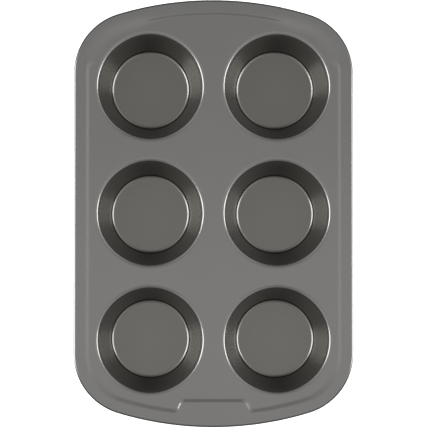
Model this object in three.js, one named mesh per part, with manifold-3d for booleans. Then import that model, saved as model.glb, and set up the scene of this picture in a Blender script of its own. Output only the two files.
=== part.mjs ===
// Muffin pan of coated steel sheet: a pressed deck, drawn cups lap-seamed into it from below,
// and a wire rolled into its edge.
// Frame, in millimetres: X runs across the pan, Y along it and Z up. The origin lies under the
// pan's middle, on the surface that the cups stand on. The end with the plain pad, at -Y, is the front.

import * as THREE from "three";
import { mergeVertices } from "three/addons/utils/BufferGeometryUtils.js";
import Module from "manifold-3d";

// Sheet and outline. The overall length and width follow from the cups and what lies round them.
const PAN_HEIGHT = 32;
const SHEET = 0.6;
const CORNER_RADIUS = 40.5;
const END_RADIUS = 213;

// Cups, inside sizes, measured to the sharp corners that the rounds take off
const CUP_COLUMNS = ["left", "right"];
const CUP_ROWS = ["front", "middle", "back"];
const MOUTH_DIAMETER = 67.6;
const FLOOR_DIAMETER = 50.5;
const LIP_RADIUS = 2.4;
const FLOOR_ROUND = 2;

// Deck left between two mouths, and from the outer mouths to the foot of the step round the deck
const CUP_WEB = 14.4;
const DECK_SIDE = 5.2;
const DECK_END = 11.95;

// Border that stands above the deck, measured in from the rolled edge
const BORDER_WIDTH = 7.5;
const STEP_DEPTH = 0.6;
const STEP_RUN = 3;

// Plain pad at the front, where the border reaches in over the deck
const PAD_REACH = 8.3;
const PAD_WIDTH = 36.6;
const PAD_FLARE = THREE.MathUtils.degToRad(25);
const PAD_RUN = 3;

// Rolled edge and the wire inside it
const WIRE_DIAMETER = 1.4;
const WIRE_CLEARANCE = 0.3;
const CURL_TURN = THREE.MathUtils.degToRad(300);

// Seam: the deck's collar sits inside the widened top of a cup, whose edge stops short of the lip's round
const COLLAR_LENGTH = 3;
const SEAM_SETBACK = 0.6;
const SEAM_CLEARANCE = 0.3;
const JOGGLE_RUN = 0.8;

// Facets
const CORNER_STEPS = 8;
const END_STEPS = 10;
const CURL_STEPS = 10;
const WIRE_STEPS = 8;
const ROUND_STEPS = 3;
const TURN_STEPS = 32;

// How far solids run into or past each other where they are joined or cut
const OVERLAP = 1;

// Places and sizes that follow from the values above
const CUP_PITCH = MOUTH_DIAMETER + CUP_WEB;
const STEP_FOOT = BORDER_WIDTH + STEP_RUN;
const PAN_WIDTH = (CUP_COLUMNS.length - 1) * CUP_PITCH + MOUTH_DIAMETER + 2 * (DECK_SIDE + STEP_FOOT);
const PAN_LENGTH = (CUP_ROWS.length - 1) * CUP_PITCH + MOUTH_DIAMETER + 2 * (DECK_END + STEP_FOOT);
const RIM_TOP = PAN_HEIGHT;
const DECK_TOP = RIM_TOP - STEP_DEPTH;
const FLOOR_TOP = SHEET;
const CURL_BORE = WIRE_DIAMETER / 2 + WIRE_CLEARANCE;
const CURL_RADIUS = CURL_BORE + SHEET;
const CURL_HEIGHT = RIM_TOP - CURL_RADIUS;
const WALL_LEAN = Math.atan2((MOUTH_DIAMETER - FLOOR_DIAMETER) / 2, DECK_TOP - FLOOR_TOP);
const WALL_BEND = Math.PI / 2 - WALL_LEAN;
const LIP_TANGENT = LIP_RADIUS * Math.tan(WALL_BEND / 2);
const FLOOR_TANGENT = FLOOR_ROUND * Math.tan(WALL_BEND / 2);
const LIP_START = MOUTH_DIAMETER / 2 + LIP_TANGENT;

const COATING = { color: 0x767573, roughness: 0.3, metalness: 0.9 };
const WIRE_STEEL = { color: 0x9a9a97, roughness: 0.35, metalness: 1 };

const wasm = await Module();
wasm.setup();

// Conversion between three.js geometry and solids that can be joined and cut

function solidOf(geometry) {
  geometry.deleteAttribute("normal");
  geometry.deleteAttribute("uv");
  const merged = mergeVertices(geometry);
  return new wasm.Manifold(
    new wasm.Mesh({
      numProp: 3,
      vertProperties: new Float32Array(merged.attributes.position.array),
      triVerts: new Uint32Array(merged.index.array),
    }),
  );
}

function geometryOf(solid) {
  const { vertProperties, triVerts } = solid.getMesh();
  return new THREE.BufferGeometry()
    .setAttribute("position", new THREE.BufferAttribute(vertProperties, 3))
    .setIndex(new THREE.BufferAttribute(triVerts, 1));
}

function meshOf(name, solid, finish) {
  const mesh = new THREE.Mesh(geometryOf(solid), new THREE.MeshStandardMaterial(finish));
  mesh.name = name;
  return mesh;
}

// Outlines and profiles

function arcPoints(centreX, centreY, radius, from, to, steps) {
  const clockwise = to < from;
  return new THREE.EllipseCurve(centreX, centreY, radius, radius, from, to, clockwise).getPoints(steps);
}

// Closed outline of the pan, moved in by inset: straight sides, four corner arcs and two long
// end arcs, each tangent to the next.
function panOutline(inset) {
  const cornerX = PAN_WIDTH / 2 - CORNER_RADIUS;
  const endY = PAN_LENGTH / 2 - END_RADIUS;
  const cornerY = endY + Math.sqrt((END_RADIUS - CORNER_RADIUS) ** 2 - cornerX ** 2);
  const turn = Math.atan2(cornerY - endY, cornerX);
  const corner = CORNER_RADIUS - inset;
  const end = END_RADIUS - inset;
  const points = [
    arcPoints(cornerX, cornerY, corner, 0, turn, CORNER_STEPS),
    arcPoints(0, endY, end, turn, Math.PI - turn, END_STEPS),
    arcPoints(-cornerX, cornerY, corner, Math.PI - turn, Math.PI, CORNER_STEPS),
    arcPoints(-cornerX, -cornerY, corner, Math.PI, Math.PI + turn, CORNER_STEPS),
    arcPoints(0, -endY, end, Math.PI + turn, 2 * Math.PI - turn, END_STEPS),
    arcPoints(cornerX, -cornerY, corner, 2 * Math.PI - turn, 2 * Math.PI, CORNER_STEPS),
  ].flat();
  const apart = 1e-6;
  return points.filter((point, i) => point.distanceTo(points.at(i - 1)) > apart);
}

// Outline of the pad with its three inner edges moved out by grow. Its outer edge lies past the rim.
function padOutline(grow) {
  const innerY = -(PAN_LENGTH / 2 - BORDER_WIDTH - PAD_REACH) + grow;
  const outerY = -PAN_LENGTH / 2 - OVERLAP;
  const innerX = PAD_WIDTH / 2 + grow * Math.tan(Math.PI / 4 - PAD_FLARE / 2);
  const outerX = innerX + (innerY - outerY) * Math.tan(PAD_FLARE);
  return [
    new THREE.Vector2(outerX, outerY),
    new THREE.Vector2(innerX, innerY),
    new THREE.Vector2(-innerX, innerY),
    new THREE.Vector2(-outerX, outerY),
  ];
}

function ringAt(outline, z) {
  return outline.map((point) => new THREE.Vector3(point.x, point.y, z));
}

// Solid with its skin laid over rings of as many points each. The first and last rings are
// capped, or joined to each other where wrapped is true.
function loft(rings, wrapped = false) {
  const count = rings[0].length;
  const index = [];
  const last = wrapped ? rings.length : rings.length - 1;
  for (let i = 0; i < last; i++) {
    const low = i * count;
    const high = ((i + 1) % rings.length) * count;
    for (let j = 0; j < count; j++) {
      const next = (j + 1) % count;
      index.push(low + j, low + next, high + next, low + j, high + next, high + j);
    }
  }
  if (!wrapped) {
    const top = (rings.length - 1) * count;
    for (const [a, b, c] of THREE.ShapeUtils.triangulateShape(rings[0], [])) index.push(a, c, b);
    for (const [a, b, c] of THREE.ShapeUtils.triangulateShape(rings.at(-1), [])) {
      index.push(top + a, top + b, top + c);
    }
  }
  return solidOf(new THREE.BufferGeometry().setFromPoints(rings.flat()).setIndex(index));
}

// Solid of a section carried round the pan's outline. The section's x is the inset and its y the height.
function sweepRound(section) {
  return loft(section.map((point) => ringAt(panOutline(point.x), point.y)), true);
}

// Solid of revolution about Z. The section's x is the radius and its y the height.
function turned(section) {
  return solidOf(new THREE.LatheGeometry(section, TURN_STEPS).rotateX(Math.PI / 2));
}

// Point on a cup's wall: along runs up the slope from the wall's corner with the deck,
// and out is measured square to the wall, away from the cup's inside.
function wallPoint(along, out) {
  return new THREE.Vector2(
    MOUTH_DIAMETER / 2 + along * Math.sin(WALL_LEAN) + out * Math.cos(WALL_LEAN),
    DECK_TOP + along * Math.cos(WALL_LEAN) - out * Math.sin(WALL_LEAN),
  );
}

function cupPlaces() {
  return CUP_ROWS.flatMap((row, j) =>
    CUP_COLUMNS.map((column, i) => ({
      name: `cup_${row}_${column}`,
      x: (i - (CUP_COLUMNS.length - 1) / 2) * CUP_PITCH,
      y: (j - (CUP_ROWS.length - 1) / 2) * CUP_PITCH,
    })),
  );
}

// The deck

// Sheet's edge rolled down and round the wire, with a tail that runs into the border
function curl() {
  const from = Math.PI / 2 - CURL_TURN;
  const outside = arcPoints(0, 0, CURL_RADIUS, from, Math.PI / 2, CURL_STEPS);
  const inside = arcPoints(0, 0, CURL_BORE, Math.PI / 2, from, CURL_STEPS);
  const tail = [new THREE.Vector2(-OVERLAP, CURL_RADIUS), new THREE.Vector2(-OVERLAP, CURL_BORE)];
  const section = [...outside, ...tail, ...inside];
  return sweepRound(section.map((point) => new THREE.Vector2(CURL_RADIUS - point.x, CURL_HEIGHT + point.y)));
}

// All that lies under a face of the border and the deck. The top face has drop 0, the underside SHEET.
function underFace(drop, edgeInset) {
  const base = DECK_TOP - SHEET - OVERLAP - drop;
  const border = loft([ringAt(panOutline(edgeInset), base), ringAt(panOutline(edgeInset), RIM_TOP - drop)]);
  const recess = loft([
    ringAt(panOutline(STEP_FOOT), DECK_TOP - drop),
    ringAt(panOutline(BORDER_WIDTH), RIM_TOP - drop),
    ringAt(panOutline(BORDER_WIDTH), RIM_TOP + OVERLAP),
  ]);
  const pad = loft([
    ringAt(padOutline(PAD_RUN), base),
    ringAt(padOutline(PAD_RUN), DECK_TOP - drop),
    ringAt(padOutline(0), RIM_TOP - drop),
    ringAt(padOutline(0), RIM_TOP + 2 * OVERLAP),
  ]);
  return border.subtract(recess.subtract(pad));
}

// Sheet rounded down into a mouth, ending in the collar that a cup is seamed to
function lip() {
  const centreY = DECK_TOP - LIP_RADIUS;
  const wallEnd = Math.PI - WALL_LEAN;
  const top = arcPoints(LIP_START, centreY, LIP_RADIUS, Math.PI / 2, wallEnd, ROUND_STEPS);
  const under = arcPoints(LIP_START, centreY, LIP_RADIUS - SHEET, wallEnd, Math.PI / 2, ROUND_STEPS);
  const collarEnd = -LIP_TANGENT - COLLAR_LENGTH;
  const section = [
    new THREE.Vector2(LIP_START + OVERLAP, DECK_TOP),
    ...top,
    wallPoint(collarEnd, 0),
    wallPoint(collarEnd, SHEET),
    ...under,
    new THREE.Vector2(LIP_START + OVERLAP, DECK_TOP - SHEET),
  ];
  return turned([...section, section[0]]);
}

function deck() {
  const sheet = underFace(0, CURL_RADIUS).subtract(underFace(SHEET, CURL_RADIUS - OVERLAP));
  const hole = solidOf(
    new THREE.CylinderGeometry(LIP_START, LIP_START, 2 * PAN_HEIGHT, TURN_STEPS).rotateX(Math.PI / 2),
  );
  const lipShape = lip();
  let made = sheet.add(curl());
  for (const { x, y } of cupPlaces()) {
    made = made.subtract(hole.translate([x, y, DECK_TOP])).add(lipShape.translate([x, y, 0]));
  }
  return meshOf("deck", made, COATING);
}

// The wire

function rimWire() {
  const section = arcPoints(0, 0, WIRE_DIAMETER / 2, 0, 2 * Math.PI, WIRE_STEPS).slice(0, -1);
  const swept = section.map((point) => new THREE.Vector2(CURL_RADIUS - point.x, CURL_HEIGHT + point.y));
  return meshOf("rim_wire", sweepRound(swept), WIRE_STEEL);
}

// The cups

// Drawn cup, widened above the joggle so that the deck's collar sits inside it with the walls flush
function cup() {
  const widen = SHEET + SEAM_CLEARANCE;
  const seamTop = -LIP_TANGENT - SEAM_SETBACK;
  const joggleTop = -LIP_TANGENT - COLLAR_LENGTH - SEAM_CLEARANCE;
  const joggleFoot = joggleTop - JOGGLE_RUN;
  const centreX = FLOOR_DIAMETER / 2 - FLOOR_TANGENT;
  const centreY = FLOOR_TOP + FLOOR_ROUND;
  const floorEnd = -Math.PI / 2;
  const wallEnd = -WALL_LEAN;
  const outside = arcPoints(centreX, centreY, FLOOR_ROUND + SHEET, floorEnd, wallEnd, ROUND_STEPS);
  const inside = arcPoints(centreX, centreY, FLOOR_ROUND, wallEnd, floorEnd, ROUND_STEPS);
  return turned([
    new THREE.Vector2(0, 0),
    ...outside,
    wallPoint(joggleFoot, SHEET),
    wallPoint(joggleTop, widen + SHEET),
    wallPoint(seamTop, widen + SHEET),
    wallPoint(seamTop, widen),
    wallPoint(joggleTop, widen),
    wallPoint(joggleFoot, 0),
    ...inside,
    new THREE.Vector2(0, FLOOR_TOP),
  ]);
}

function cups() {
  const shape = cup();
  return cupPlaces().map(({ name, x, y }) => {
    const mesh = meshOf(name, shape, COATING);
    mesh.position.set(x, y, 0);
    return mesh;
  });
}

const pan = new THREE.Group();
pan.add(deck(), rimWire(), ...cups());

export default pan;
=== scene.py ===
"""Muffin pan: the finish and the fine shape of a coated steel pan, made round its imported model.

Sizes are in metres. X runs across the pan, Y along it and Z up, and the end with the plain pad is at -Y.
"""

import math
from itertools import repeat

import bmesh
import bpy
from bpy.props import FloatProperty, FloatVectorProperty, IntProperty, PointerProperty
from mathutils import Matrix, Vector


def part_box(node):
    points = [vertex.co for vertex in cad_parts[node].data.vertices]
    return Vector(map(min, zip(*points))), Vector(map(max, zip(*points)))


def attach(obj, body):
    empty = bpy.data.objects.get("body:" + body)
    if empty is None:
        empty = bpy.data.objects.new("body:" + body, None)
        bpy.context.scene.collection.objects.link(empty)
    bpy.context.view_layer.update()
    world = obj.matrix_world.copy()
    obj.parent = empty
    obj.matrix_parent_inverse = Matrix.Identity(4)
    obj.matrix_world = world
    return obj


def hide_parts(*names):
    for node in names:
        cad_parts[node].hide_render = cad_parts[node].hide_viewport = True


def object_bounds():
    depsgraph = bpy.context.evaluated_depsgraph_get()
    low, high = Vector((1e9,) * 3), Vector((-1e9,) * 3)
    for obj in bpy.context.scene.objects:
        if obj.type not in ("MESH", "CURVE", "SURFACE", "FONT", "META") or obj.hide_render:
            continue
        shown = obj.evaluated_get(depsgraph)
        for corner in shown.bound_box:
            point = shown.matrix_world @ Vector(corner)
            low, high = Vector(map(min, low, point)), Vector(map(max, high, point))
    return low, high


bl_info = {
    "name": "Muffin Pan",
    "version": (1, 0, 0),
    "blender": (4, 5, 0),
    "location": "View3D > Sidebar > Muffin Pan",
    "description": "Makes a coated steel muffin pan on a studio table",
    "category": "Add Mesh",
}

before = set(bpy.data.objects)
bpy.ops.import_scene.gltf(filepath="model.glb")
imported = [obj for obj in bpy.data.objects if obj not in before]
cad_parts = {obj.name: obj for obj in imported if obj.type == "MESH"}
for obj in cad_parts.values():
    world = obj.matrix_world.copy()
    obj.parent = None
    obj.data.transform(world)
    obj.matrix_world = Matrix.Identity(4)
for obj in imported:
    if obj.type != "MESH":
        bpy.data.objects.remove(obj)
CAD_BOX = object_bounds()
PAN_LOW, PAN_HIGH = CAD_BOX
CUP_NODES = sorted(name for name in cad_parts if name.startswith("cup_"))

# Points closer together than this are one point.
WELD = 1e-7

# Painted shade on the rolled edge: a dark line painted on its outside,
# where its faces lean this far outwards.
# It begins in the corners, where the outline faces this far towards an end. None is painted along the sides.
# At the middle of the ends it eases off again by a share.
RIM_SHADE_ATTRIBUTE = "painted_rim_shade"
RIM_SHADE_OUTWARDS = (0.12, 0.52)
RIM_SHADE_IN_CORNERS = (0.17, 0.5)
RIM_SHADE_AT_ENDS = (0.8, 1)
RIM_SHADE_EASE = 0.2

# The step spreads out in the back corners, where the outline faces this far towards a diagonal.
SPREAD_IN_CORNERS = (0.05, 0.25)

# Places and sizes of the lamps, which all face the pan. A lamp's brightness is the stage setting of its name.
LAMPS = {
    "overhead": ((0, 0.05, 2.4), (1.7, 1.1)),
    "front": ((0, -0.2, 2.4), (1.7, 0.6)),
    "left": ((-0.975, 0, 0.71), (0.67, 0.94)),
    "right": ((0.975, -0.02, 0.71), (0.56, 0.94)),
}


# Settings


def length(name, description, default):
    """A size in metres."""
    return FloatProperty(name=name, description=description, default=default, unit="LENGTH", precision=5)


def angle(name, description, degrees):
    """An angle, given in degrees and kept in radians."""
    return FloatProperty(name=name, description=description, default=math.radians(degrees), subtype="ANGLE")


def amount(name, description, default):
    """A plain number."""
    return FloatProperty(name=name, description=description, default=default, precision=3)


def colour(name, description, default):
    """A colour, in scene linear values."""
    return FloatVectorProperty(
        name=name, description=description, default=default, subtype="COLOR", size=3, min=0, max=1
    )


class PanSizes(bpy.types.PropertyGroup):
    """Sizes of the sheet, the border, the cups and the rim."""

    pan_length: length("Length", "Overall length", PAN_HIGH[1] - PAN_LOW[1])
    pan_width: length("Width", "Overall width", PAN_HIGH[0] - PAN_LOW[0])
    pan_height: length("Height", "From the cups' undersides to the top of the border", PAN_HIGH[2])
    sheet: length("Sheet", "Thickness of the coated sheet", 0.0006)
    corner_radius: length("Corner radius", "Radius of the outline's corners", 0.0405)
    end_radius: length("End radius", "Radius of the outline's bowed ends", 0.213)
    border_width: length("Border", "From the edge to the middle of the step", 0.009)
    step_depth: length("Step depth", "How far the deck lies below the border", 0.0006)
    side_run: length("Side run", "Width of the step along the sides", 0.0036)
    back_run: length("Back run", "Width of the step along the back", 0.0022)
    front_run: length("Front run", "Width of the step along the front", 0.0037)
    front_gain: length("Front corner gain", "Width that the step gains in the front corners", 0.002)
    back_spread: length("Back corner spread", "Width that the step gains in the back corners", 0.0078)
    step_margin: length("Step margin", "Flat strip beside the step", 0.0003)
    pad_run: length("Pad run", "Width of the step along the pad", 0.003)
    pad_left_run: length("Pad left run", "Width of the step on the pad's left", 0.0022)
    pad_right_run: length("Pad right run", "Width of the step on the pad's right", 0.0034)
    pad_reach: length("Pad reach", "From the edge to the middle of the step round the pad", 0.0173)
    pad_width: length("Pad width", "Width of the pad's inner edge", 0.0411)
    pad_flare: angle("Pad flare", "Lean of the pad's sides", 27)
    pad_corner: length("Pad corner", "Radius of the step's bends at the pad's inner corners", 0.005)
    pad_foot: length("Pad foot", "Radius of the step's bends where it leaves the border", 0.003)
    mouth_diameter: length("Mouth", "Cup's mouth, to the corner that the lip rounds off", 0.0676)
    floor_diameter: length("Floor", "Cup's floor, to the corner that its round takes off", 0.0505)
    shoulder_radius: length("Shoulder radius", "Gentle round where the deck begins to dip into a cup", 0.008)
    shoulder_turn: angle("Shoulder turn", "Dip at which the gentle round gives way to the lip's own", 12)
    lip_radius: length("Lip radius", "Round from the shoulder into a cup", 0.0016)
    floor_round: length("Floor round", "Gentle round at the rim of a cup's floor", 0.0028)
    floor_turn: angle("Floor turn", "Rise at which the gentle round ends", 38)
    wall_round: length("Wall round", "Tight round from there into a cup's wall", 0.0004)
    collar_length: length("Collar", "Deck's collar below the lip", 0.003)
    seam_setback: length("Seam setback", "Cup's edge below the lip's round", 0.0006)
    seam_gap: length("Seam gap", "Gap between a cup and the deck's collar", 0.00004)
    joggle_run: length("Joggle", "Length over which a cup widens for its seam", 0.0016)
    edge_round: length("Edge round", "Round on a cup's cut edge", 0.00015)
    wire_diameter: length("Wire", "Diameter of the wire in the rolled edge", 0.0014)
    curl_radius: length("Curl radius", "Outside radius of the rolled edge", 0.00135)
    curl_turn: angle("Curl turn", "How far the edge is rolled round the wire", 300)


class PanFacets(bpy.types.PropertyGroup):
    """How finely round shapes are divided."""

    corner: IntProperty(name="Corner", description="Steps along a corner of the outline", default=40)
    end: IntProperty(name="End", description="Steps along a bowed end", default=48)
    curl: IntProperty(name="Curl", description="Steps round the rolled edge", default=30)
    step: IntProperty(name="Step", description="Steps across the step round the deck", default=14)
    bend: IntProperty(name="Bend", description="Steps along a bend of the step", default=12)
    turn: IntProperty(name="Turn", description="Steps round a cup", default=144)
    lip: IntProperty(name="Lip", description="Steps across a lip", default=24)
    fillet: IntProperty(name="Round", description="Points in each round of a cup's section", default=12)
    wire: IntProperty(name="Wire", description="Steps round the wire", default=16)
    sharp: angle("Sharp", "Bend past which an edge of a cup shades sharp", 50)


class PanFinish(bpy.types.PropertyGroup):
    """Colours and gloss of the coating and the wire."""

    coating: colour("Coating", "Colour of the coating", (0.19, 0.187, 0.182))
    coating_dark: colour("Coating, darker", "Colour in the darker patches", (0.173, 0.1705, 0.166))
    # Painted shade in the cups: the coating is painted darker and warmer down the cups, for the shade that
    # falls there.
    cup_shade_tint: colour("Cup tint", "How the coating darkens where the cups are drawn", (0.8, 0.79, 0.75))
    # Painted shade: darkens the outside of the rolled edge to a dark line at the ends and in the corners.
    rim_shade_tint: colour("Roll tint", "How the coating darkens outside the rolled edge", (0.1, 0.1, 0.1))
    edge_tint: colour("Edge tint", "Share of the glancing reflection that is kept", (0.75, 0.75, 0.75))
    # Heights between which the painted shade in the cups sets in.
    cup_shade_top: length("Drawn top", "Height below which the coating begins to darken", 0.03)
    cup_shade_foot: length("Drawn foot", "Height below which it is as dark as the cups", 0.024)
    metallic: amount("Metallic", "Share of metal flake in the coating", 0.92)
    roughness: amount("Roughness", "Gloss of the coating", 0.2)
    roughness_spread: amount("Roughness spread", "How much the gloss varies", 0.05)
    gloss_scale: amount("Gloss scale", "Duller and glossier patches in a metre", 60)
    patch_scale: amount("Patch scale", "Lighter and darker patches in a metre", 28)
    flake_scale: amount("Flake scale", "Metal flakes in a metre", 5200)
    flake_share: amount("Flake share", "Share of the flakes in the coating's shade", 0.4)
    peel_scale: amount("Peel scale", "Ripples of the orange peel in a metre", 900)
    peel_depth: length("Peel depth", "Depth of the orange peel", 0.00004)
    peel_strength: amount("Peel strength", "How much of the orange peel shows", 0.12)
    steel: colour("Steel", "Colour of the wire", (0.5, 0.49, 0.47))
    steel_dark: colour("Steel, darker", "Colour in the wire's darker streaks", (0.36, 0.35, 0.34))
    steel_roughness: amount("Steel roughness", "Gloss of the wire where it is glossiest", 0.25)
    steel_spread: amount("Steel roughness spread", "How much the wire's gloss varies", 0.2)
    streak_scale: amount("Streak scale", "Streaks of the wire in a metre", 1400)


class PanStage(bpy.types.PropertyGroup):
    """Camera, lamps, room and table."""

    camera_height: length("Camera height", "Camera above the border", 1.33)
    camera_x: length("Camera X", "Camera beside the pan's middle", -0.029)
    camera_y: length("Camera Y", "Camera before the pan's middle", -0.036)
    aim_x: length("Aim X", "Where the camera aims beside the pan's middle", -0.00012)
    aim_y: length("Aim Y", "Where the camera aims before the pan's middle", -0.0003)
    view_width: length("View width", "Width that the picture takes in at the border", 0.2759)
    overhead: amount("Overhead", "Brightness of the overhead sheet of light", 0.24)
    front: amount("Front", "Brightness of the overhead sheet of light towards the front", 0.21)
    left: amount("Left", "Brightness of the left softbox", 6.6)
    right: amount("Right", "Brightness of the right softbox", 5.8)
    room: amount("Room", "Brightness of the room overhead", 0.57)
    horizon: amount("Horizon", "Share of that brightness at the horizon", 0.25)
    forwards: amount("Forwards", "Share by which the room is brighter towards the front", 0.2)
    sides: amount("Sides", "Brightness that the room gains to the left and right", 0.62)
    corners: amount("Corners", "Brightness that the room gains high up towards its corners", 0.4)
    table_reach: length("Table reach", "From the table's middle to its edges", 6)
    table_gap: length("Table gap", "Table below the cups' undersides", 0.0002)
    table_white: amount("Table white", "Share of its light that the table gives back", 0.82)
    table_glow: amount("Table glow", "Brightness that the table gains where it is seen", 0.75)


class PanSettings(bpy.types.PropertyGroup):
    """All settings of the pan."""

    sizes: PointerProperty(type=PanSizes)
    facets: PointerProperty(type=PanFacets)
    finish: PointerProperty(type=PanFinish)
    stage: PointerProperty(type=PanStage)


# Node trees


class Value:
    """An output socket that takes part in sums, so that an expression adds its own Math nodes."""

    def __init__(self, nodes, socket):
        self.nodes = nodes
        self.socket = socket

    def other(self, name):
        """Another output of the same node."""
        return Value(self.nodes, self.socket.node.outputs[name])

    def sin(self):
        """Sine of an angle."""
        return self.nodes.maths("SINE", self)

    def cos(self):
        """Cosine of an angle."""
        return self.nodes.maths("COSINE", self)

    def tan(self):
        """Tangent of an angle."""
        return self.nodes.maths("TANGENT", self)

    def __add__(self, term):
        return self.nodes.maths("ADD", self, term)

    def __radd__(self, term):
        return self.nodes.maths("ADD", term, self)

    def __sub__(self, term):
        return self.nodes.maths("SUBTRACT", self, term)

    def __rsub__(self, term):
        return self.nodes.maths("SUBTRACT", term, self)

    def __mul__(self, term):
        return self.nodes.maths("MULTIPLY", self, term)

    def __rmul__(self, term):
        return self.nodes.maths("MULTIPLY", term, self)

    def __truediv__(self, term):
        return self.nodes.maths("DIVIDE", self, term)

    def __rtruediv__(self, term):
        return self.nodes.maths("DIVIDE", term, self)

    def __neg__(self):
        return self.nodes.maths("MULTIPLY", self, -1)


class Nodes:
    """A node tree that is being filled in."""

    def __init__(self, tree):
        self.tree = tree

    def add(self, kind, settings=None, sockets=None, output=0):
        """Adds a node, sets it up, then fills its sockets. Gives one of its outputs."""
        node = self.tree.nodes.new(kind)
        for name, value in (settings or {}).items():
            setattr(node, name, value)
        for name, value in (sockets or {}).items():
            self.fill(node.inputs[name], value)
        return Value(self, node.outputs[output]) if len(node.outputs) else None

    def fill(self, socket, value):
        """Links a value to a socket, or sets the socket to a number, a colour or a material."""
        if isinstance(value, Value):
            self.tree.links.new(value.socket, socket)
        elif value is not None:
            socket.default_value = value

    def maths(self, operation, *terms):
        """Adds a Math node."""
        return self.add("ShaderNodeMath", {"operation": operation}, dict(enumerate(terms)))

    def noise(self, place, scale, detail):
        """Adds a noise pattern, from about 0 to 1."""
        return self.add("ShaderNodeTexNoise", None, {"Vector": place, "Scale": scale, "Detail": detail})

    def ramp(self, value, low, high):
        """Rises smoothly from 0 where value is low to 1 where it is high."""
        settings = {"interpolation_type": "SMOOTHSTEP"}
        return self.add("ShaderNodeMapRange", settings, {"Value": value, "From Min": low, "From Max": high})

    def mix(self, factor, first, second, blend="MIX"):
        """Mixes two colours."""
        settings = {"data_type": "RGBA", "blend_type": blend}
        sockets = {"Factor": factor, "A": first, "B": second}
        return self.add("ShaderNodeMix", settings, sockets, output="Result")


class GeometryTree(Nodes):
    """A Geometry Nodes tree with named inputs."""

    KINDS = {
        "GEOMETRY": "NodeSocketGeometry",
        "FLOAT": "NodeSocketFloat",
        "INT": "NodeSocketInt",
        "VECTOR": "NodeSocketVector",
        "MATERIAL": "NodeSocketMaterial",
    }

    def __init__(self, name, inputs):
        super().__init__(bpy.data.node_groups.new(name, "GeometryNodeTree"))
        self.identifiers = {}
        for input_name, kind in inputs.items():
            socket = self.tree.interface.new_socket(input_name, in_out="INPUT", socket_type=self.KINDS[kind])
            self.identifiers[input_name] = socket.identifier
        self.tree.interface.new_socket("Geometry", in_out="OUTPUT", socket_type="NodeSocketGeometry")
        self.source = self.tree.nodes.new("NodeGroupInput")

    def get(self, name):
        """One of the tree's named inputs."""
        return Value(self, self.source.outputs[name])

    def choose(self, index, kind, items):
        """The item whose place in the list is index."""
        node = self.tree.nodes.new("GeometryNodeIndexSwitch")
        node.data_type = kind
        while len(node.index_switch_items) < len(items):
            node.index_switch_items.new()
        self.fill(node.inputs["Index"], index)
        for place, item in enumerate(items):
            self.fill(node.inputs[place + 1], item)
        return Value(self, node.outputs[0])

    def finish(self, geometry, material):
        """Ends the tree in plain, smooth geometry with its material."""
        smooth = self.add("GeometryNodeSetShadeSmooth", None, {"Geometry": geometry})
        real = self.add("GeometryNodeRealizeInstances", None, {"Geometry": smooth})
        made = self.add("GeometryNodeSetMaterial", None, {"Geometry": real, "Material": material})
        self.add("NodeGroupOutput", None, {"Geometry": made})

    def run(self, obj, values):
        """Puts the tree on an object and gives the plain mesh that it makes."""
        modifier = obj.modifiers.new(self.tree.name, "NODES")
        modifier.node_group = self.tree
        for name, value in values.items():
            modifier[self.identifiers[name]] = value
        return evaluated_mesh(obj)


def evaluated_mesh(obj):
    """Plain mesh of an object with its modifiers applied."""
    bpy.context.view_layer.update()
    graph = bpy.context.evaluated_depsgraph_get()
    final = obj.evaluated_get(graph)
    return bpy.data.meshes.new_from_object(final, preserve_all_data_layers=True, depsgraph=graph)


# Materials


def new_material(name):
    """A material and its empty node tree."""
    material = bpy.data.materials.new(name)
    material.use_nodes = True
    material.node_tree.nodes.clear()
    return material, Nodes(material.node_tree)


def coating_material(finish):
    """Satin dark grey non-stick coating with fine metal flake and a faint orange peel."""
    material, nodes = new_material("non_stick_coating")
    place = nodes.add("ShaderNodeTexCoord", output="Object")
    height = nodes.add("ShaderNodeSeparateXYZ", None, {"Vector": place}, output="Z")
    patches = nodes.noise(place, finish.patch_scale, detail=3)
    flake = nodes.noise(place, finish.flake_scale, detail=1)
    shade = patches * (1 - finish.flake_share) + flake * finish.flake_share
    tint = nodes.mix(shade, (*finish.coating_dark, 1), (*finish.coating, 1))
    # Painted shade in the cups: the coating is painted darker and warmer below the deck, fully so low in the
    # cups.
    drawn = nodes.ramp(height, finish.cup_shade_top, finish.cup_shade_foot)
    shaded = nodes.mix(drawn, tint, (*finish.cup_shade_tint, 1), "MULTIPLY")
    # Painted shade: a dark line painted on the outside of the rolled edge, at the ends and in the corners.
    rolled = nodes.add("ShaderNodeAttribute", {"attribute_name": RIM_SHADE_ATTRIBUTE}, output="Fac")
    coloured = nodes.mix(rolled, shaded, (*finish.rim_shade_tint, 1), "MULTIPLY")
    uneven = nodes.noise(place, finish.gloss_scale, detail=4)
    gloss = finish.roughness + (uneven - 0.5) * finish.roughness_spread
    peel = nodes.noise(place, finish.peel_scale, detail=2)
    relief = nodes.add(
        "ShaderNodeBump",
        None,
        {"Strength": finish.peel_strength, "Distance": finish.peel_depth, "Height": peel},
        output="Normal",
    )
    surface = nodes.add(
        "ShaderNodeBsdfPrincipled",
        None,
        {
            "Base Color": coloured,
            "Metallic": finish.metallic,
            "Roughness": gloss,
            "Specular Tint": (*finish.edge_tint, 1),
            "Normal": relief,
        },
    )
    nodes.add("ShaderNodeOutputMaterial", None, {"Surface": surface})
    return material


def steel_material(finish):
    """Plain drawn steel wire with fine streaks."""
    material, nodes = new_material("drawn_steel")
    place = nodes.add("ShaderNodeTexCoord", output="Object")
    streaks = nodes.noise(place, finish.streak_scale, detail=3)
    surface = nodes.add(
        "ShaderNodeBsdfPrincipled",
        None,
        {
            "Base Color": nodes.mix(streaks, (*finish.steel_dark, 1), (*finish.steel, 1)),
            "Metallic": 1,
            "Roughness": finish.steel_roughness + streaks * finish.steel_spread,
        },
    )
    nodes.add("ShaderNodeOutputMaterial", None, {"Surface": surface})
    return material


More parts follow.
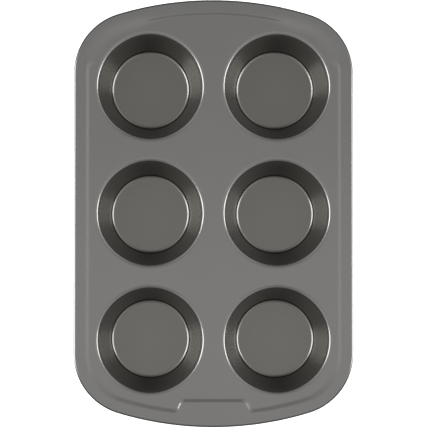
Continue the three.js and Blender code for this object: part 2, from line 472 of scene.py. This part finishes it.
def table_material(stage):
    """White that is brighter to the camera and in reflections, and that keeps the pan's shadow."""
    material, nodes = new_material("white_table")
    rays = nodes.add("ShaderNodeLightPath", output="Is Camera Ray")
    mirrored = nodes.maths("MAXIMUM", rays.other("Is Glossy Ray"), rays.other("Is Transmission Ray"))
    seen = nodes.maths("MAXIMUM", rays, mirrored)
    lit = nodes.add("ShaderNodeBsdfDiffuse", None, {"Color": (*repeat(stage.table_white, 3), 1)})
    glow = nodes.add("ShaderNodeEmission", None, {"Color": (1, 1, 1, 1), "Strength": seen * stage.table_glow})
    surface = nodes.add("ShaderNodeAddShader", None, {0: lit, 1: glow})
    nodes.add("ShaderNodeOutputMaterial", None, {"Surface": surface})
    return material


def material_named(name, make, settings):
    """A material that is made the first time it is asked for."""
    return bpy.data.materials.get(name) or make(settings)


# Shapes


class Plan:
    """Places that follow from the sizes."""

    def __init__(self, sizes):
        self.sizes = sizes
        self.rim_top = sizes.pan_height
        self.deck_top = self.rim_top - sizes.step_depth
        self.curl_height = self.rim_top - sizes.curl_radius
        self.wall_lean = math.atan2(
            (sizes.mouth_diameter - sizes.floor_diameter) / 2, self.deck_top - sizes.sheet
        )
        self.wall_bend = math.pi / 2 - self.wall_lean
        across, drop = self.lip(self.wall_bend)
        self.lip_tangent = drop / math.cos(self.wall_lean)
        self.lip_start = sizes.mouth_diameter / 2 + across - drop * math.tan(self.wall_lean)
        self.corner_x = sizes.pan_width / 2 - sizes.corner_radius
        self.end_y = sizes.pan_length / 2 - sizes.end_radius
        reach = sizes.end_radius - sizes.corner_radius
        self.corner_y = self.end_y + math.sqrt(reach**2 - self.corner_x**2)
        self.meet = math.atan2(self.corner_y - self.end_y, self.corner_x)

    def lip(self, turn):
        """How far in and how far down a lip has come where it has turned so far from level."""
        shoulder, lip = self.sizes.shoulder_radius, self.sizes.lip_radius
        first = min(turn, self.sizes.shoulder_turn)
        across = shoulder * math.sin(first) + lip * (math.sin(turn) - math.sin(first))
        return across, shoulder * (1 - math.cos(first)) + lip * (math.cos(first) - math.cos(turn))

    def wall(self, along, out):
        """Radius and height of a point along a cup's wall from the mouth's corner and square out from it."""
        lean = self.wall_lean
        radius = self.sizes.mouth_diameter / 2 + along * math.sin(lean) + out * math.cos(lean)
        return radius, self.deck_top + along * math.cos(lean) - out * math.sin(lean)


def arc(centre, radius, start, end, steps):
    """Points along an arc, with both its ends."""
    turns = [start + (end - start) / steps * i for i in range(steps + 1)]
    return [Vector((centre[0] + radius * math.cos(t), centre[1] + radius * math.sin(t))) for t in turns]


def joined(*runs):
    """Runs of points as one closed line, without the points that two runs share."""
    points = [point for run in runs for point in run]
    return [point for i, point in enumerate(points) if (point - points[i - 1]).length > WELD]


def outline_runs(plan, inset, facets):
    """The outline's corner and end arcs, moved in by inset, round from the back right to the front right."""
    x, y, meet = plan.corner_x, plan.corner_y, plan.meet
    corner = plan.sizes.corner_radius - inset
    end = plan.sizes.end_radius - inset
    return [
        arc((x, y), corner, 0, meet, facets.corner),
        arc((0, plan.end_y), end, meet, math.pi - meet, facets.end),
        arc((-x, y), corner, math.pi - meet, math.pi, facets.corner),
        arc((-x, -y), corner, math.pi, math.pi + meet, facets.corner),
        arc((0, -plan.end_y), end, math.pi + meet, 2 * math.pi - meet, facets.end),
        arc((x, -y), corner, 2 * math.pi - meet, 2 * math.pi, facets.corner),
    ]


def outline(plan, inset, facets):
    """The pan's closed outline, moved in by inset."""
    return joined(*outline_runs(plan, inset, facets))


def eased(before, corner, after, radius, steps):
    """Arc that rounds off a corner between two straight runs."""
    towards = (corner - before).normalized()
    away = (after - corner).normalized()
    side = 1 if towards.cross(away) > 0 else -1
    tangent = radius * math.tan(towards.angle(away) / 2)
    start = corner - towards * tangent
    centre = start + side * radius * Vector((-towards.y, towards.x))
    first = math.atan2(start.y - centre.y, start.x - centre.x)
    return arc(centre, radius, first, first + side * towards.angle(away), steps)


def step_line(plan, facets):
    """Line along the middle of the step: round the deck and, at the front, round the pad."""
    sizes = plan.sizes
    runs = outline_runs(plan, sizes.border_width, facets)
    radius = sizes.end_radius - sizes.border_width
    centre_y = -plan.end_y
    flare = math.tan(sizes.pad_flare)
    inner = Vector((sizes.pad_width / 2, -sizes.pan_length / 2 + sizes.pad_reach))
    # The pad's side leans out from the inner corner as far as the front arc, which is a root of a quadratic.
    drop = inner.y - centre_y
    half = inner.x * flare - drop
    square = 1 + flare**2
    side = (math.sqrt(half**2 - square * (inner.x**2 + drop**2 - radius**2)) - half) / square
    outer = Vector((inner.x + side * flare, inner.y - side))
    clear_turn = math.atan2(outer.x, centre_y - outer.y) + sizes.pad_foot / radius
    down = 1.5 * math.pi
    left_arc = arc((0, centre_y), radius, math.pi + plan.meet, down - clear_turn, facets.end // 2)
    right_arc = arc((0, centre_y), radius, down + clear_turn, 2 * math.pi - plan.meet, facets.end // 2)
    mirror = Vector((-1, 1))
    corners = [left_arc[-1], outer * mirror, inner * mirror, inner, outer, right_arc[0]]
    radii = [sizes.pad_foot, sizes.pad_corner, sizes.pad_corner, sizes.pad_foot]
    bends = [eased(*corners[i : i + 3], bend, facets.bend) for i, bend in enumerate(radii)]
    return joined(*runs[:4], left_arc, *bends, right_arc, runs[5])


def inward(line):
    """Unit vectors that point to the left of a closed line, into what it surrounds."""
    found = []
    for i, point in enumerate(line):
        along = (line[(i + 1) % len(line)] - line[i - 1]).normalized()
        found.append(Vector((-along.y, along.x)))
    return found


def smooth_rise(value, low, high):
    """Rises from 0 at low to 1 at high, level at both ends."""
    t = min(max((value - low) / (high - low), 0), 1)
    return t * t * (3 - 2 * t)


def rim_shade_share(side):
    """Share of the painted shade on the rolled edge where the outline faces side."""
    lean = abs(side.y)
    return smooth_rise(lean, *RIM_SHADE_IN_CORNERS) * (1 - RIM_SHADE_EASE * smooth_rise(lean, *RIM_SHADE_AT_ENDS))


class Skin:
    """An open surface made of rings of points."""

    def __init__(self):
        self.mesh = bmesh.new()
        # Share of the painted shade on the rolled edge, kept on each point.
        self.rolled = self.mesh.verts.layers.float.new(RIM_SHADE_ATTRIBUTE)

    def ring(self, points, heights, rolled=0):
        """A ring of points, which takes the share rolled of the painted shade on the rolled edge."""
        made = [self.mesh.verts.new((point.x, point.y, height)) for point, height in zip(points, heights)]
        for vertex, side in zip(made, inward(points)):
            vertex[self.rolled] = rolled * rim_shade_share(side)
        return made

    def strip(self, rings):
        """Faces from each ring to the next, facing up where a ring lies inside the one before."""
        for outer, inner in zip(rings, rings[1:]):
            count = len(outer)
            for i in range(count):
                after = (i + 1) % count
                self.mesh.faces.new((outer[i], outer[after], inner[after], inner[i]))

    def plate(self, *rings):
        """Flat face inside the first ring, with the others as holes."""
        edges = []
        for ring in rings:
            for i, vertex in enumerate(ring):
                edge = self.mesh.edges.get((vertex, ring[i - 1]))
                edges.append(edge or self.mesh.edges.new((vertex, ring[i - 1])))
        made = bmesh.ops.triangle_fill(self.mesh, edges=edges, use_beauty=True, normal=(0, 0, 1))
        for face in made["geom"]:
            if isinstance(face, bmesh.types.BMFace):
                face.normal_update()
                if face.normal.z < 0:
                    face.normal_flip()

    def object(self, name):
        """The surface as an object, smooth all over."""
        made = bpy.data.meshes.new(name)
        self.mesh.to_mesh(made)
        self.mesh.free()
        made.shade_smooth()
        return mesh_object(name, made)


def curl_rings(skin, plan, facets):
    """Rolled edge, from the sheet's cut edge round to the border."""
    radius = plan.sizes.curl_radius
    top = math.pi / 2
    rings = []
    for i in range(facets.curl + 1):
        turn = top - plan.sizes.curl_turn * (1 - i / facets.curl)
        inset = radius * (1 - math.cos(turn))
        # More painted shade the further the rolled edge's faces lean outwards.
        rolled = smooth_rise(math.cos(turn), *RIM_SHADE_OUTWARDS)
        height = plan.curl_height + radius * math.sin(turn)
        rings.append(skin.ring(outline(plan, inset, facets), repeat(height), rolled))
    return rings


def step_places(plan, facets):
    """Points along the step, each with its way inwards, narrow run, wide run and the wide run's share."""
    sizes = plan.sizes
    line = step_line(plan, facets)
    middle = sizes.end_radius - sizes.border_width
    places = []
    for point, side in zip(line, inward(line)):
        corner = (2 * side.x * side.y) ** 2
        if side.y > 0:
            run = sizes.side_run * side.x**2 + sizes.front_run * side.y**2 + sizes.front_gain * corner
            share = 0
        else:
            run = sizes.side_run * side.x**2 + sizes.back_run * side.y**2
            share = smooth_rise(corner, *SPREAD_IN_CORNERS)
        if abs(point.x) < plan.corner_x and point.y < 0:
            inside = middle - (point - Vector((0, -plan.end_y))).length
            at_pad = min(max(inside / sizes.pad_foot, 0), 1)
            pad_side_run = sizes.pad_left_run if point.x < 0 else sizes.pad_right_run
            pad_run = pad_side_run * side.x**2 + sizes.pad_run * side.y**2
            run += (pad_run - run) * at_pad
        places.append((point, side, run, run + 2 * sizes.step_margin + sizes.back_spread * share, share))
    return places


def step_rings(skin, plan, facets):
    """Step from the border down to the deck. In the back corners it fades into a wide one."""
    places = step_places(plan, facets)
    # Each ring lies away from the step's middle by a share of the wide run and a share of the narrow one.
    halves = facets.step // 2
    before = [((i / halves - 1) / 2, -i / halves / 2) for i in range(halves)]
    across = [(0, i / facets.step - 0.5) for i in range(facets.step + 1)]
    after = [(-wide, -narrow) for wide, narrow in reversed(before)]
    rings = []
    for wide, narrow in (*before, *across, *after):
        points, heights = [], []
        for point, side, run, spread, share in places:
            away = narrow * run + wide * spread
            drop = smooth_rise(away, -run / 2, run / 2) * (1 - share)
            drop += smooth_rise(away, -spread / 2, spread / 2) * share
            points.append(point + side * away)
            heights.append(plan.rim_top - plan.sizes.step_depth * drop)
        rings.append(skin.ring(points, heights))
    return rings


def lip_rings(skin, plan, facets, centre):
    """Sheet rounded down into a mouth, with the collar below it."""
    section = []
    for i in range(facets.lip + 1):
        across, drop = plan.lip(plan.wall_bend * i / facets.lip)
        section.append((plan.lip_start - across, plan.deck_top - drop))
    section.append(plan.wall(-plan.lip_tangent - plan.sizes.collar_length, 0))
    return [skin.ring(arc(centre, r, 0, 2 * math.pi, facets.turn)[:-1], repeat(z)) for r, z in section]


def cup_centre(node):
    """Middle of a cup, seen from above."""
    low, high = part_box(node)
    return Vector(((low[0] + high[0]) / 2, (low[1] + high[1]) / 2))


def keep_flats_flat(obj):
    """Lets large flat faces set the normals along their edges."""
    modifier = obj.modifiers.new("weighted_normals", "WEIGHTED_NORMAL")
    modifier.keep_sharp = True


def settle(obj, material, replaced):
    """Applies an object's modifiers and puts it in the frame."""
    mesh = evaluated_mesh(obj)
    obj.modifiers.clear()
    obj.data = mesh
    mesh.materials.clear()
    mesh.materials.append(material)
    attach(obj, "root")
    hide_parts(*replaced)


def mesh_object(name, mesh):
    """A mesh as an object at the origin."""
    obj = bpy.data.objects.new(name, mesh)
    bpy.context.scene.collection.objects.link(obj)
    return obj


def cup_section(tree):
    """Corners of a cup's section, each with its round: up the inside from the middle and down the outside."""
    mouth, deck, lean, sheet = (tree.get(name) for name in ("Mouth Radius", "Deck Height", "Lean", "Sheet"))
    sine, cosine = lean.sin(), lean.cos()

    def point(radius, height):
        return tree.add("ShaderNodeCombineXYZ", None, {"X": radius - mouth, "Y": -height})

    def wall(along, out):
        return point(mouth + along * sine + out * cosine, deck + along * cosine - out * sine)

    widen = sheet + tree.get("Seam Gap")
    seam_top = tree.get("Seam Top")
    ledge = tree.get("Seam Foot") - tree.get("Seam Gap")
    joggle_top = ledge + sheet * 0.5
    joggle_foot = joggle_top - tree.get("Joggle Run")
    floor_round, floor_turn = tree.get("Floor Round"), tree.get("Floor Turn")
    wall_round = tree.get("Wall Round")
    wall_turn = math.pi / 2 - lean - floor_turn
    rise = floor_round * (floor_turn * 0.5).tan() + wall_round * (wall_turn * 0.5).tan()
    wall_foot = rise * floor_turn.sin()
    foot_radius = tree.get("Floor Radius") + wall_foot * lean.tan()
    outer_floor = tree.get("Floor Radius") + sheet * (1 - sine) / cosine
    return [
        (point(0, sheet), 0),
        (point(foot_radius - rise * floor_turn.cos(), sheet), floor_round),
        (point(foot_radius, sheet + wall_foot), wall_round),
        (wall(ledge, 0), tree.get("Edge Round")),
        (wall(ledge, widen), 0),
        (wall(seam_top, widen), tree.get("Edge Round")),
        (wall(seam_top, widen + sheet), tree.get("Edge Round")),
        (wall(joggle_top, widen + sheet), sheet),
        (wall(joggle_foot, sheet), sheet),
        (point(outer_floor, 0), floor_round - sheet),
        (point(0, 0), 0),
    ]


def cup_tree():
    """Tree that turns a cup from its section: a rounded polygon, turned about the cup's middle."""
    tree = GeometryTree(
        "drawn_cup",
        {
            "Centre": "VECTOR",
            "Mouth Radius": "FLOAT",
            "Floor Radius": "FLOAT",
            "Deck Height": "FLOAT",
            "Lean": "FLOAT",
            "Sheet": "FLOAT",
            "Floor Round": "FLOAT",
            "Floor Turn": "FLOAT",
            "Wall Round": "FLOAT",
            "Seam Top": "FLOAT",
            "Seam Foot": "FLOAT",
            "Seam Gap": "FLOAT",
            "Joggle Run": "FLOAT",
            "Edge Round": "FLOAT",
            "Round Points": "INT",
            "Turn Steps": "INT",
            "Material": "MATERIAL",
        },
    )
    section = cup_section(tree)
    line = tree.add("GeometryNodeMeshLine", None, {"Count": len(section)})
    index = tree.add("GeometryNodeInputIndex")
    placed = tree.add(
        "GeometryNodeSetPosition",
        None,
        {"Geometry": line, "Position": tree.choose(index, "VECTOR", [place for place, _ in section])},
    )
    sharp = tree.add("GeometryNodeMeshToCurve", None, {"Mesh": placed})
    rounds = tree.choose(tree.add("GeometryNodeInputIndex"), "FLOAT", [size for _, size in section])
    rounded = tree.add(
        "GeometryNodeFilletCurve",
        {"mode": "POLY"},
        {"Curve": sharp, "Count": tree.get("Round Points"), "Radius": rounds, "Limit Radius": True},
    )
    circle = tree.add(
        "GeometryNodeCurvePrimitiveCircle",
        None,
        {"Resolution": tree.get("Turn Steps"), "Radius": tree.get("Mouth Radius")},
    )
    turned = tree.add("GeometryNodeCurveToMesh", None, {"Curve": circle, "Profile Curve": rounded})
    closed = tree.add("GeometryNodeMergeByDistance", None, {"Geometry": turned, "Distance": WELD})
    moved = tree.add("GeometryNodeTransform", None, {"Geometry": closed, "Translation": tree.get("Centre")})
    tree.finish(moved, tree.get("Material"))
    return tree


def wire_tree():
    """Tree that draws a round wire along a curve."""
    tree = GeometryTree(
        "rolled_wire",
        {"Path": "GEOMETRY", "Radius": "FLOAT", "Steps": "INT", "Material": "MATERIAL"},
    )
    section = tree.add(
        "GeometryNodeCurvePrimitiveCircle",
        None,
        {"Resolution": tree.get("Steps"), "Radius": tree.get("Radius")},
    )
    swept = tree.add("GeometryNodeCurveToMesh", None, {"Curve": tree.get("Path"), "Profile Curve": section})
    tree.finish(swept, tree.get("Material"))
    return tree


# Stage


def add_table(stage):
    """White table top under the pan."""
    shape = bmesh.new()
    under = Matrix.Translation((0, 0, -stage.table_gap))
    bmesh.ops.create_grid(shape, x_segments=1, y_segments=1, size=stage.table_reach, matrix=under)
    mesh = bpy.data.meshes.new("table")
    shape.to_mesh(mesh)
    shape.free()
    mesh.materials.append(table_material(stage))
    mesh_object("table", mesh)


def add_world(stage):
    """Room that is brightest overhead, to the left, to the right and high up in its corners."""
    # The sides and the corners grow no brighter past these squares of the direction.
    # The corners fade in between these two heights.
    side_full = 0.2
    side_power = 1.5
    diagonal_full = 0.0175
    high = (0.55, 0.8)
    world = bpy.data.worlds.new("room")
    world.use_nodes = True
    world.node_tree.nodes.clear()
    nodes = Nodes(world.node_tree)
    direction = nodes.add("ShaderNodeTexCoord", output="Generated")
    across = nodes.add("ShaderNodeSeparateXYZ", None, {"Vector": direction}, output="X")
    along, up = across.other("Y"), across.other("Z")
    overhead = nodes.add(
        "ShaderNodeMapRange",
        None,
        {"Value": up, "To Min": stage.room * stage.horizon, "To Max": stage.room},
    )
    beside = nodes.maths("MINIMUM", across * across / side_full, 1)
    diagonal = nodes.maths("MINIMUM", across * across * along * along / diagonal_full, 1)
    sides = nodes.maths("POWER", beside, side_power) * stage.sides
    corners = diagonal * nodes.ramp(up, *high) * stage.corners
    strength = overhead * (1 - along * stage.forwards) + sides + corners
    surface = nodes.add("ShaderNodeBackground", None, {"Color": (1, 1, 1, 1), "Strength": strength})
    nodes.add("ShaderNodeOutputWorld", None, {"Surface": surface})
    bpy.context.scene.world = world


def add_lamp(name, place, size, brightness):
    """Soft rectangular lamp that faces the pan."""
    lamp = bpy.data.lights.new(name, "AREA")
    lamp.shape = "RECTANGLE"
    lamp.size, lamp.size_y = size
    lamp.energy = brightness * math.pi * size[0] * size[1]
    obj = bpy.data.objects.new(name, lamp)
    obj.location = place
    obj.rotation_euler = (-Vector(place)).to_track_quat("-Z", "Y").to_euler()
    bpy.context.scene.collection.objects.link(obj)


def add_camera(place, target, view_width):
    """Camera nearly straight above the pan."""
    camera = bpy.data.cameras.new("camera")
    away = (target - place).length
    camera.lens = camera.sensor_width * away / view_width
    back = (place - target).normalized()
    right = Vector((0, 1, 0)).cross(back).normalized()
    obj = bpy.data.objects.new("camera", camera)
    obj.location = place
    obj.rotation_euler = Matrix((right, back.cross(right), back)).transposed().to_euler()
    bpy.context.scene.collection.objects.link(obj)
    bpy.context.scene.camera = obj


# Operators


class MUFFINPAN_OT_deck(bpy.types.Operator):
    """Make the pressed deck: rolled edge, border, step, pad and lips, in one sheet"""

    bl_idname = "muffin_pan.deck"
    bl_label = "Deck"

    def execute(self, context):
        settings = context.scene.muffin_pan
        facets = settings.facets
        plan = Plan(settings.sizes)
        skin = Skin()
        curl = curl_rings(skin, plan, facets)
        step = step_rings(skin, plan, facets)
        centres = [cup_centre(node) for node in CUP_NODES]
        if any((vertex.co.xy - centre).length < plan.lip_start for vertex in step[-1] for centre in centres):
            raise ValueError("The step round the deck runs into a cup's lip")
        lips = [lip_rings(skin, plan, facets, centre) for centre in centres]
        for rings in (curl, step, *lips):
            skin.strip(rings)
        skin.plate(curl[-1], step[0])
        skin.plate(step[-1], *(rings[0] for rings in lips))
        deck = skin.object("pressed_deck")
        wall = deck.modifiers.new("sheet", "SOLIDIFY")
        wall.thickness = settings.sizes.sheet
        wall.offset = -1
        wall.use_even_offset = True
        keep_flats_flat(deck)
        coating = material_named("non_stick_coating", coating_material, settings.finish)
        settle(deck, coating, ["deck"])
        return {"FINISHED"}


class MUFFINPAN_OT_cups(bpy.types.Operator):
    """Make the drawn cups, each seamed under its lip"""

    bl_idname = "muffin_pan.cups"
    bl_label = "Cups"

    def execute(self, context):
        settings = context.scene.muffin_pan
        sizes = settings.sizes
        plan = Plan(sizes)
        coating = material_named("non_stick_coating", coating_material, settings.finish)
        tree = cup_tree()
        for node in CUP_NODES:
            cup = mesh_object(f"{node}_drawn", bpy.data.meshes.new(node))
            cup.data = tree.run(
                cup,
                {
                    "Centre": (*cup_centre(node), 0.0),
                    "Mouth Radius": sizes.mouth_diameter / 2,
                    "Floor Radius": sizes.floor_diameter / 2,
                    "Deck Height": plan.deck_top,
                    "Lean": plan.wall_lean,
                    "Sheet": sizes.sheet,
                    "Floor Round": sizes.floor_round,
                    "Floor Turn": sizes.floor_turn,
                    "Wall Round": sizes.wall_round,
                    "Seam Top": -plan.lip_tangent - sizes.seam_setback,
                    "Seam Foot": -plan.lip_tangent - sizes.collar_length,
                    "Seam Gap": sizes.seam_gap,
                    "Joggle Run": sizes.joggle_run,
                    "Edge Round": sizes.edge_round,
                    "Round Points": settings.facets.fillet,
                    "Turn Steps": settings.facets.turn,
                    "Material": coating,
                },
            )
            cup.modifiers.clear()
            cup.data.set_sharp_from_angle(angle=settings.facets.sharp)
            keep_flats_flat(cup)
            settle(cup, coating, [node])
        return {"FINISHED"}


class MUFFINPAN_OT_rim_wire(bpy.types.Operator):
    """Make the wire inside the rolled edge"""

    bl_idname = "muffin_pan.rim_wire"
    bl_label = "Rim Wire"

    def execute(self, context):
        settings = context.scene.muffin_pan
        sizes = settings.sizes
        plan = Plan(sizes)
        points = outline(plan, sizes.curl_radius, settings.facets)
        curve = bpy.data.curves.new("wire_path", "CURVE")
        curve.dimensions = "3D"
        spline = curve.splines.new("POLY")
        spline.points.add(len(points) - 1)
        spline.use_cyclic_u = True
        for point, place in zip(spline.points, points):
            point.co = (place.x, place.y, plan.curl_height, 1)
        path = bpy.data.objects.new("wire_path", curve)
        context.scene.collection.objects.link(path)
        steel = material_named("drawn_steel", steel_material, settings.finish)
        values = {"Radius": sizes.wire_diameter / 2, "Steps": settings.facets.wire, "Material": steel}
        wire = mesh_object("rim_wire_drawn", wire_tree().run(path, values))
        bpy.data.objects.remove(path)
        settle(wire, steel, ["rim_wire"])
        return {"FINISHED"}


class MUFFINPAN_OT_stage(bpy.types.Operator):
    """Set the table, the room, the lamps and the camera"""

    bl_idname = "muffin_pan.stage"
    bl_label = "Stage"

    def execute(self, context):
        settings = context.scene.muffin_pan
        stage = settings.stage
        rim = settings.sizes.pan_height
        add_table(stage)
        add_world(stage)
        for name, (place, size) in LAMPS.items():
            add_lamp(name, place, size, getattr(stage, name))
        eye = Vector((stage.camera_x, stage.camera_y, rim + stage.camera_height))
        add_camera(eye, Vector((stage.aim_x, stage.aim_y, rim)), stage.view_width)
        context.scene.view_settings.view_transform = "Standard"
        return {"FINISHED"}


class MUFFINPAN_PT_panel(bpy.types.Panel):
    """Panel with the pan's settings and what makes its pieces"""

    bl_idname = "MUFFINPAN_PT_panel"
    bl_label = "Muffin Pan"
    bl_space_type = "VIEW_3D"
    bl_region_type = "UI"
    bl_category = "Muffin Pan"

    def draw(self, context):
        settings = context.scene.muffin_pan
        for operator in OPERATORS:
            self.layout.operator(operator.bl_idname)
        for group in (settings.sizes, settings.facets, settings.finish, settings.stage):
            box = self.layout.box()
            for name in group.__annotations__:
                box.prop(group, name)


OPERATORS = (MUFFINPAN_OT_deck, MUFFINPAN_OT_cups, MUFFINPAN_OT_rim_wire, MUFFINPAN_OT_stage)
CLASSES = (PanSizes, PanFacets, PanFinish, PanStage, PanSettings, *OPERATORS, MUFFINPAN_PT_panel)


def register():
    for kind in CLASSES:
        bpy.utils.register_class(kind)
    bpy.types.Scene.muffin_pan = PointerProperty(type=PanSettings)


def unregister():
    del bpy.types.Scene.muffin_pan
    for kind in reversed(CLASSES):
        bpy.utils.unregister_class(kind)


def main():
    register()
    bpy.ops.muffin_pan.deck()
    bpy.ops.muffin_pan.cups()
    bpy.ops.muffin_pan.rim_wire()
    bpy.ops.muffin_pan.stage()


if __name__ == "__main__":
    main()
